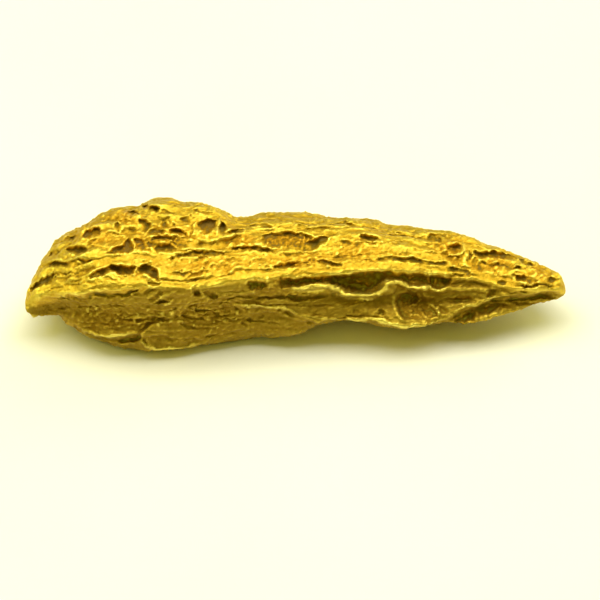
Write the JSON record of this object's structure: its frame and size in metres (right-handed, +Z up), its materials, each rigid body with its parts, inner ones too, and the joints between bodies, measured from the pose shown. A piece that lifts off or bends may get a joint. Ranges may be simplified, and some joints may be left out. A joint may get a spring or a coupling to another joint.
{
  "type": "gold nugget",
  "caption": "Long, wedge-shaped natural gold nugget with a creased upper face and a layered front, lying on a worn flat sole.",
  "frame": {"origin": "under the middle of the nugget's bounding box, on the plane of its sole", "axes": "+X along the length towards the pointed end, +Y from the layered front to the back, +Z up from the sole"},
  "size_m": [0.0269, 0.007, 0.0059],
  "materials": {
    "native_gold": "worn satin metal, rough and stained in its hollows"
  },
  "bodies": {
    "root": {"nugget": "native_gold"}
  },
  "joints": []
}
